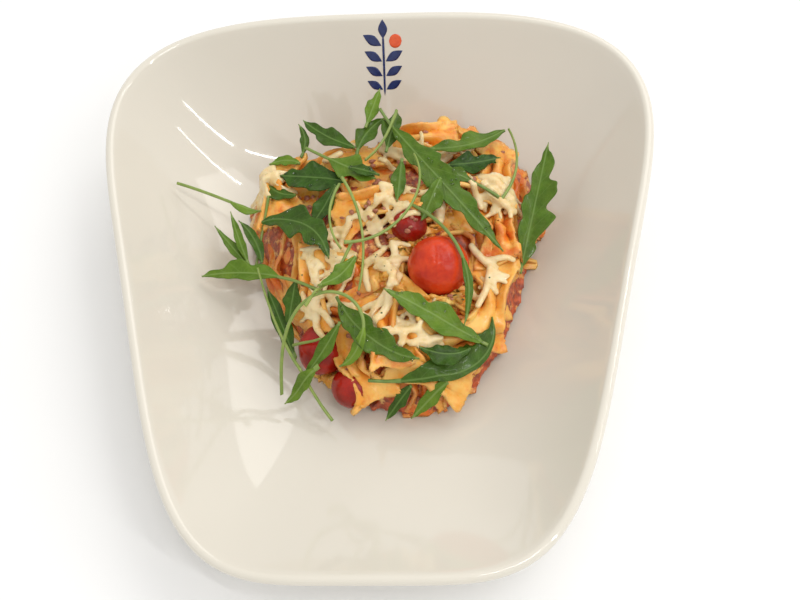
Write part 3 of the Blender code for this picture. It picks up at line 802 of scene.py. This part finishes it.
def make_bows(tree, leaf_tree, look):
    rng = np.random.default_rng(7)
    parts, tints = [], []
    rows = [(*bow, TOP_HUG) for bow in TOP_BOWS]
    low, high = (np.array(c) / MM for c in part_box("pasta_heap"))
    for share, count in FILL_RINGS:
        for k in range(count):
            angle = 2 * math.pi * (k + rng.uniform(-0.3, 0.3)) / count
            x = (low[0] + high[0]) / 2 + (high[0] - low[0]) / 2 * share * math.cos(angle)
            y = (low[1] + high[1]) / 2 + (high[1] - low[1]) / 2 * share * math.sin(angle)
            tilt = rng.uniform(-8, 8, 2)
            turn = rng.uniform(0, 180)
            sauce = rng.uniform(0.1, 0.9)
            rows.append((x, y, turn, *tilt, FILL_LIFT, 0, sauce, FILL_HUG))
    for x, y, turn, pitch, roll, lift, bend, sauce, hug in rows:
        placed = lay_on(tree, x, y, turn, pitch, roll, 0.0)
        if placed is None:
            continue
        rotation, place = placed
        flat = bow_grid(rng, bend * (1 - hug), rng.uniform(-0.25, 0.25)) + (0, 0, lift - 1.5)
        grid = hugged(tree, flat, rotation, place, hug)
        grid[..., 2] = np.maximum(grid[..., 2], floor_under(grid))
        grid = below_leaves(leaf_tree, grid, BOW_THICKNESS / 2 + LEAF_ROOM)
        parts.append(sheet(grid, np.full(grid.shape[:2], BOW_THICKNESS)))
        tints.append(bow_tint(grid.shape, sauce))
    points, faces = gather(parts)
    return make_object("bow_ties", points, faces, look, np.vstack(tints))


def floor_under(grid):
    """The height of the plate's inside, plus half a bow's thickness, under each point."""
    angle = np.arctan2(grid[..., 0], grid[..., 1] - WELL_Y * 0.6)
    well = well_outline(angle, WELL_SCALE)
    rim = rim_outline(angle)
    away = np.hypot(grid[..., 0], grid[..., 1] - WELL_Y)
    inner = np.hypot(well[..., 0], well[..., 1] - WELL_Y)
    outer = np.hypot(rim[..., 0], rim[..., 1] - WELL_Y)
    step = np.clip((away - inner) / (outer - inner), 0, 1)
    return FLOOR_Z + (rim[..., 2] - FLOOR_Z) * step**WALL_POWER + FLOOR_ROOM


def make_core(look):
    """The sauce-coated inside of the pile: the CAD heap drawn in a few millimetres."""
    source = NODES["pasta_heap"]
    bm = bmesh.new()
    bm.from_mesh(source.data)
    bmesh.ops.remove_doubles(bm, verts=bm.verts, dist=1e-5)
    bm.normal_update()
    for vert in bm.verts:
        inward = CORE_TOP_INSET if vert.normal.z > 0 else CORE_UNDER_INSET
        vert.co -= vert.normal * inward * MM
    mesh = bpy.data.meshes.new("sauced_core")
    bm.to_mesh(mesh)
    bm.free()
    mesh.materials.clear()
    mesh.materials.append(look)
    core = bpy.data.objects.new("sauced_core", mesh)
    bpy.context.scene.collection.objects.link(core)
    remesh_and_smooth(core, CORE_VOXEL, CORE_SMOOTHING)
    return core


def remesh_and_smooth(obj, voxel, rounds):
    """Melts a piece into one skin, and keeps the result as its mesh."""
    remesh = obj.modifiers.new("melt", "REMESH")
    remesh.mode = "VOXEL"
    remesh.voxel_size = voxel * MM
    remesh.use_smooth_shade = True
    smooth = obj.modifiers.new("soften", "SMOOTH")
    smooth.iterations = rounds
    smooth.factor = 0.5
    bpy.context.view_layer.update()
    graph = bpy.context.evaluated_depsgraph_get()
    made = bpy.data.meshes.new_from_object(obj.evaluated_get(graph))
    obj.modifiers.clear()
    obj.data = made
    made.shade_smooth()


# ---------------------------------------------------------------- cheese, crumbs and drops


def tube(path, radii, sides=7):
    """Points and faces of a closed round strand along a path."""
    path = np.asarray(path)
    ahead = np.gradient(path, axis=0)
    ahead /= np.maximum(np.linalg.norm(ahead, axis=1, keepdims=True), 1e-9)
    side = np.cross(ahead, np.array([0.0, 0.0, 1.0]))
    side /= np.maximum(np.linalg.norm(side, axis=1, keepdims=True), 1e-6)
    up = np.cross(side, ahead)
    turn = np.arange(sides) * 2 * math.pi / sides
    rings = []
    for p, s, u, r in zip(path, side, up, radii):
        rings.append(p + r * (np.cos(turn)[:, None] * s + 0.75 * np.sin(turn)[:, None] * u))
    return ring_mesh(rings, path[0] - ahead[0] * radii[0] * 0.6, path[-1] + ahead[-1] * radii[-1] * 0.6)


def draped(tree, plan, radius, sag=2.0):
    """A path over the pile along points of the plan, stiffened so that it bridges narrow gaps."""
    heights = []
    for x, y in plan:
        point, _ = drop(tree, x, y)
        heights.append(point[2] if point is not None else FLOOR_Z)
    heights = np.array(heights)
    smooth = heights.copy()
    for _ in range(6):
        padded = np.pad(smooth, 1, mode="edge")
        smooth = np.maximum(heights - sag, (padded[:-2] + padded[2:] + padded[1:-1]) / 3)
    return np.column_stack([plan, smooth + radius * 0.5])


def wandering(rng, x, y, heading, length, curl, steps=14):
    """A curved line in the plan."""
    headings = heading + np.cumsum(rng.normal(curl, 0.09, steps))
    moves = np.column_stack([np.cos(headings), np.sin(headings)]) * length / steps
    line = np.cumsum(moves, axis=0)
    return line - line[steps // 2] + (x, y)


def make_cheese(tree, look):
    rng = np.random.default_rng(21)
    parts = []
    for x, y, heading, length, radius in THICK_SHREDS:
        plan = wandering(rng, x, y, math.radians(heading), length, rng.normal(0, 0.04))
        taper = radius * (0.8 + 0.2 * np.sin(np.linspace(0.3, 2.8, len(plan))))
        parts.append(tube(draped(tree, plan, radius, 1.0) + (0, 0, radius * 0.5), taper, 10))
    for (x, y), (wide, deep), count, shortest, longest in CHEESE_PATCHES:
        for _ in range(count):
            place = rng.normal(0, 0.55, 2) * (wide, deep) + (x, y)
            length = rng.uniform(shortest, longest)
            plan = wandering(rng, *place, rng.uniform(0, 2 * math.pi), length, rng.normal(0, 0.06))
            radius = rng.uniform(1.3, 2.1)
            uneven = rng.normal(0, 0.05, len(plan))
            taper = radius * (0.75 + 0.25 * np.sin(np.linspace(0.2, 2.9, len(plan))) + uneven)
            parts.append(tube(draped(tree, plan, radius), taper))
    points, faces = gather(parts)
    cheese = make_object("melted_cheese", points, faces, look)
    remesh_and_smooth(cheese, CHEESE_VOXEL, CHEESE_SMOOTHING)
    return cheese


def blob(rng, centre, size, flat=0.8):
    """A small uneven lump."""
    bm = bmesh.new()
    bmesh.ops.create_icosphere(bm, subdivisions=2, radius=1.0)
    stretch = rng.uniform(0.7, 1.3, 3) * (1, 1, flat)
    wave = rng.normal(0, 1.6, (3, 3))
    phase = rng.uniform(0, 6.28, 3)
    points = []
    for vert in bm.verts:
        p = np.array(vert.co)
        bulge = 1 + 0.16 * np.sin(wave @ p + phase).sum()
        points.append(p * bulge * stretch * size / 2 + centre)
    faces = [tuple(v.index for v in face.verts) for face in bm.faces]
    bm.free()
    return np.array(points), faces


def make_scatter(name, tree, look, patches, seed, flat):
    rng = np.random.default_rng(seed)
    parts = []
    for (x, y), (wide, deep), count, smallest, largest in patches:
        for _ in range(count):
            place = rng.normal(0, 0.6, 2) * (wide, deep) + (x, y)
            point, _ = drop(tree, *place)
            if point is None or point[2] < LOWEST_CRUMB_Z:
                continue
            size = rng.uniform(smallest, largest)
            parts.append(blob(rng, point + (0, 0, size * 0.1), size, flat))
    return make_object(name, *gather(parts), look)


# ---------------------------------------------------------------- tomatoes


def make_tomato(look):
    """The whole cherry tomato: a slightly flattened, softly wrinkled ball that fits its CAD solid."""
    bm = bmesh.new()
    bmesh.ops.create_uvsphere(bm, u_segments=64, v_segments=40, radius=1.0)
    rng = np.random.default_rng(3)
    waves = rng.normal(0, 5.0, (6, 3))
    phases = rng.uniform(0, 6.28, 6)
    points = []
    for vert in bm.verts:
        p = np.array(vert.co)
        dimple = 0.05 * math.exp(-((1 - p[2]) / 0.03) ** 2)
        wrinkle = 0.004 * np.sin(waves @ p * 2.2 + phases).sum()
        points.append(p * (1 - dimple + wrinkle) * TOMATO_RADIUS + TOMATO_CENTRE)
    faces = [tuple(v.index for v in face.verts) for face in bm.faces]
    bm.free()
    tomato = make_object("baked_cherry_tomato", points, faces, look)
    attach(tomato, "root")
    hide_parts("cherry_tomato")
    return tomato


def make_half(name, half, look):
    """A sagging half tomato with its skin outwards."""
    radius = half["radius"]
    bm = bmesh.new()
    bmesh.ops.create_uvsphere(bm, u_segments=48, v_segments=32, radius=1.0)
    turn = np.array(Vector((0, 0, 1)).rotation_difference(Vector(half["faces"])).to_matrix())
    rng = np.random.default_rng(int(radius))
    waves = rng.normal(0, 3.0, (5, 3))
    phases = rng.uniform(0, 6.28, 5)
    points = []
    for vert in bm.verts:
        p = np.array(vert.co)
        p[2] = max(p[2], -HALF_DEPTH + 0.03 * (p[2] + 1))
        p *= 1 - 0.03 + 0.012 * np.sin(waves @ p + phases).sum()
        points.append(turn @ (p * radius) + half["centre"])
    faces = [tuple(v.index for v in face.verts) for face in bm.faces]
    bm.free()
    piece = make_object("baked_" + name, points, faces, look)
    piece.data.set_sharp_from_angle(angle=math.radians(55))
    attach(piece, "root")
    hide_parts(name)
    return piece


# ---------------------------------------------------------------- rocket leaves


def route_points(leaf, shares):
    """The leaf's midline at shares of its length, by the CAD part's rule."""
    steps = (np.arange(ROUTE_STEPS) + 0.5) / ROUTE_STEPS
    made = []
    for t in shares:
        turn = np.radians(leaf["heading"] + leaf["bend"] * (t * steps) ** leaf["curl"])
        reach = leaf["length"] * t / ROUTE_STEPS
        x, y, z = leaf["start"]
        rise = (leaf["tip_z"] - z) * t + leaf["arch"] * 4 * t * (1 - t)
        made.append((x + np.cos(turn).sum() * reach, y + np.sin(turn).sum() * reach, z + rise))
    return np.array(made)


def leaf_half_widths(leaf, shares, side, rng):
    """Half width along one side: a thin stem, then a blade with rounded lobes and narrow notches."""
    if leaf["stem"] >= 1.0:
        return STEM_RADIUS * (1 - 0.35 * shares)
    u = np.clip((shares - leaf["stem"]) / (1 - leaf["stem"]), 0, 1)
    full = np.minimum(1.0, u / 0.3) ** 0.7 * (1 - u**2.6)
    count = max(1.5, (1 - leaf["stem"]) * leaf["length"] / LOBE_SPACING)
    notch = np.abs(np.cos(math.pi * (count * u + rng.uniform(0, 1)))) ** 4
    lobed = 1 - LOBE_DEPTH * notch * rng.uniform(0.6, 1.1) * np.clip(leaf[side] / 5, 0, 1)
    teeth = 1 + 0.03 * np.sin(2 * math.pi * 2.6 * count * u + rng.uniform(0, 6.28))
    width = 1.12 * leaf[side] * full * lobed * teeth
    thin = STEM_RADIUS * (1 - 0.7 * u)
    return np.where(shares < leaf["stem"], STEM_RADIUS, np.maximum(width, thin))


def cad_surface(node, route_line, query, shares):
    """Heights of a CAD leaf at points of the plan, from a local straight-line fit to its corners."""
    mesh = node.data
    corners = np.empty(len(mesh.vertices) * 3)
    mesh.vertices.foreach_get("co", corners)
    corners = corners.reshape(-1, 3) / MM
    line = np.linspace(0, 1, len(route_line))
    near = np.linalg.norm(corners[:, None, :] - route_line[None, :, :], axis=2).argmin(axis=1)
    length = np.linalg.norm(np.diff(route_line, axis=0), axis=1).sum()
    heights = np.empty(len(query))
    for i, (x, y) in enumerate(query):
        away = ((corners[:, 0] - x) ** 2 + (corners[:, 1] - y) ** 2) / (2 * LEAF_SMOOTHING**2)
        away = away + ((line[near] - shares[i]) * length) ** 2 / (2 * (2 * LEAF_SMOOTHING) ** 2)
        weight = np.exp(-(away - away.min()))
        base = np.column_stack([np.ones(len(corners)), corners[:, 0] - x, corners[:, 1] - y])
        held = base.T @ (base * weight[:, None]) + np.diag([0, 1.0, 1.0])
        heights[i] = np.linalg.solve(held, base.T @ (weight * corners[:, 2]))[0]
    return heights


def make_leaf(number, leaf, blade_look, pale_look):
    node = f"rocket_leaf_{number:02d}"
    rng = np.random.default_rng(100 + number)
    shares = np.linspace(0, 1, LEAF_ROWS)
    route = route_points(leaf, shares)
    ahead = np.gradient(route, axis=0)
    ahead[:, 2] = 0
    ahead /= np.linalg.norm(ahead, axis=1, keepdims=True)
    side = np.column_stack([ahead[:, 1], -ahead[:, 0], np.zeros(LEAF_ROWS)])
    across = np.linspace(-1, 1, LEAF_COLUMNS)
    left = leaf_half_widths(leaf, shares, "left", rng)
    right = leaf_half_widths(leaf, shares, "right", rng)
    half = np.where(across[None, :] < 0, left[:, None], right[:, None])
    blade = np.clip((np.maximum(left, right) - STEM_RADIUS * 0.8) / 1.5, 0, 1)[:, None] * np.ones(half.shape)
    offset = half * across[None, :]
    sweep = LOBE_SWEEP * np.abs(offset) * blade
    grid = route[:, None, :] + side[:, None, :] * offset[..., None] + ahead[:, None, :] * sweep[..., None]
    plan = grid[..., :2].reshape(-1, 2)
    line = route_points(leaf, np.linspace(0, 1, 41))
    spots = np.repeat(shares, LEAF_COLUMNS)
    grid[..., 2] = cad_surface(NODES[node], line, plan, spots).reshape(grid.shape[:2])
    ripple = np.sin(2 * math.pi * (3.3 * shares[:, None] + rng.uniform()) + 1.3 * np.sign(across[None, :]))
    grid[..., 2] += 0.16 * np.abs(offset) * ripple * blade * np.abs(across[None, :])
    grid[..., 2] += rng.uniform(0.02, 0.22) * np.abs(offset) * blade
    round_stem = 1.5 * np.sqrt(np.maximum(1 - across[None, :] ** 2, 0.02))
    rib = 1.1 * (1 - 0.7 * shares[:, None]) * np.exp(-((offset / 0.7) ** 2))
    thickness = np.maximum((1 - blade) * round_stem, 0.35 + rib * blade)
    points, faces = sheet(grid, thickness)
    along = np.broadcast_to(shares[:, None], half.shape)
    tint = np.stack([along, offset / 8.0, np.full(half.shape, leaf["tint"])], -1).reshape(-1, 3)
    piece = make_object("rocket_%02d" % number, points, faces, blade_look, np.vstack([tint, tint]))
    piece.data.materials.append(pale_look)
    stemmy = np.concatenate([blade.reshape(-1), blade.reshape(-1)]) < 0.15
    for polygon in piece.data.polygons:
        if all(stemmy[i] for i in polygon.vertices):
            polygon.material_index = 1
    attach(piece, "root")
    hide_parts(node)
    return piece


def make_drops(leaves, look):
    """Drops of oil and water on the wetter leaves."""
    rng = np.random.default_rng(55)
    parts = []
    for leaf, count in leaves:
        tops = [p for p in leaf.data.polygons if p.normal.z > 0.6 and p.material_index == 0]
        for index in rng.choice(len(tops), count):
            size = rng.uniform(0.5, 1.6)
            centre = np.array(tops[index].center) / MM
            parts.append(blob(rng, centre + (0, 0, 0.1), size, 0.6))
    return make_object("oil_drops", *gather(parts), look)


# ---------------------------------------------------------------- stage


def make_camera():
    """The camera over the plate, with its lens and the tilt of its frame."""
    a, e, r = (math.radians(v) for v in (CAMERA_AZIMUTH, CAMERA_ELEVATION, CAMERA_ROLL))
    back = Vector((math.sin(a) * math.cos(e), -math.cos(a) * math.cos(e), math.sin(e)))
    right = (-back).cross(Vector((0, 0, 1))).normalized()
    up = right.cross(-back)
    turned_right = right * math.cos(r) + up * math.sin(r)
    turned_up = up * math.cos(r) - right * math.sin(r)
    place = (Vector(CAMERA_TARGET) + back * CAMERA_DISTANCE) * MM
    data = bpy.data.cameras.new("camera")
    data.lens = CAMERA_LENS
    data.sensor_width = 36.0
    data.clip_start = 0.01
    camera = bpy.data.objects.new("camera", data)
    frame_axes = Matrix((turned_right, turned_up, back)).transposed().to_4x4()
    camera.matrix_world = Matrix.Translation(place) @ frame_axes
    bpy.context.scene.collection.objects.link(camera)
    bpy.context.scene.camera = camera


def add_light(name, place, target, size, power, colour=(1, 1, 1)):
    data = bpy.data.lights.new(name, "AREA")
    data.shape = "RECTANGLE"
    data.size, data.size_y = size
    data.energy = power
    data.color = colour
    light = bpy.data.objects.new(name, data)
    light.location = place
    light.rotation_euler = (Vector(target) - Vector(place)).to_track_quat("-Z", "Y").to_euler()
    bpy.context.scene.collection.objects.link(light)
    return light


def make_stage():
    look = Look("pale_floor")
    grey = look.mottled(look.noise(200.0), (0.86, 0.86, 0.86), (0.88, 0.88, 0.88))
    look.set(Base_Color=grey, Roughness=0.9)
    bm = bmesh.new()
    bmesh.ops.create_grid(bm, x_segments=2, y_segments=2, size=3.0)
    mesh = bpy.data.meshes.new("floor")
    bm.to_mesh(mesh)
    bm.free()
    mesh.materials.append(look.material)
    floor = bpy.data.objects.new("floor", mesh)
    bpy.context.scene.collection.objects.link(floor)
    world = bpy.data.worlds.new("studio")
    world.use_nodes = True
    background = world.node_tree.nodes["Background"]
    background.inputs["Color"].default_value = (1.0, 0.99, 0.97, 1.0)
    background.inputs["Strength"].default_value = ROOM_LIGHT
    bpy.context.scene.world = world
    add_light("soft_key", KEY_PLACE, (0, 0, 0.02), KEY_SIZE, KEY_POWER, (1.0, 0.98, 0.95))
    for name, start, end, power in CEILING_TUBES:
        add_tube(name, Vector(start), Vector(end), power)


def add_tube(name, start, end, power):
    """A ceiling tube: a long thin light that shines down and shows as a streak in the glaze."""
    middle = (start + end) / 2
    light = add_light(name, middle, middle - Vector((0, 0, 1)), ((end - start).length, TUBE_WIDTH), power)
    turn = math.atan2(end.y - start.y, end.x - start.x)
    light.rotation_euler = (0, 0, turn)


# ---------------------------------------------------------------- everything together


def main():
    bpy.context.scene.view_settings.view_transform = "Standard"
    make_camera()
    make_stage()
    make_plate(glaze_look())
    navy = print_look("navy_print", (0.012, 0.02, 0.09), (0.02, 0.035, 0.14))
    orange = print_look("orange_print", (0.80, 0.12, 0.03), (0.70, 0.08, 0.02))
    make_print(navy, orange)

    heap_tree = tree_of(NODES["pasta_heap"])
    core = make_core(sauce_look())
    leaf_tree = tree_of(*[node for name, node in NODES.items() if name.startswith("rocket_leaf")])
    bows = make_bows(heap_tree, leaf_tree, pasta_look())
    whole_red = tomato_look("baked_tomato_skin", (0.44, 0.018, 0.004), (0.66, 0.055, 0.008))
    # The halves get a darker copy of the whole tomato's skin. This deeper red is painted shade, standing in
    # for the shade of the leaves and stems over them.
    half_red_painted_shade = tomato_look("tomato_skin_painted_shade", (0.22, 0.008, 0.004), (0.42, 0.016, 0.006))
    halves = [make_half(name, half, half_red_painted_shade) for name, half in TOMATO_HALVES.items()]
    tomatoes = [make_tomato(whole_red)] + halves
    pile = tree_of(core, bows, *tomatoes[1:])
    cheese = make_cheese(pile, cheese_look())
    crumbs = make_scatter("minced_meat_crumbs", pile, crumb_look(), CRUMB_PATCHES, 31, 0.8)
    press_mesh(leaf_tree, cheese, LEAF_ROOM)
    press_mesh(leaf_tree, crumbs, LEAF_ROOM)
    top = tree_of(core, bows, cheese)
    herbs = make_scatter("herb_flecks", top, herb_look(), HERB_PATCHES, 41, 0.3)
    for piece in (core, bows, cheese, crumbs, herbs):
        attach(piece, "root")
        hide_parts("pasta_heap")

    blade, stem = leaf_look(), stem_look()
    leaves = [make_leaf(number, leaf, blade, stem) for number, leaf in enumerate(LEAVES, 1)]
    wet = [(leaves[number - 1], count) for number, count in WET_LEAVES]
    drops = make_drops(wet, drop_look())
    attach(drops, "root")


main()
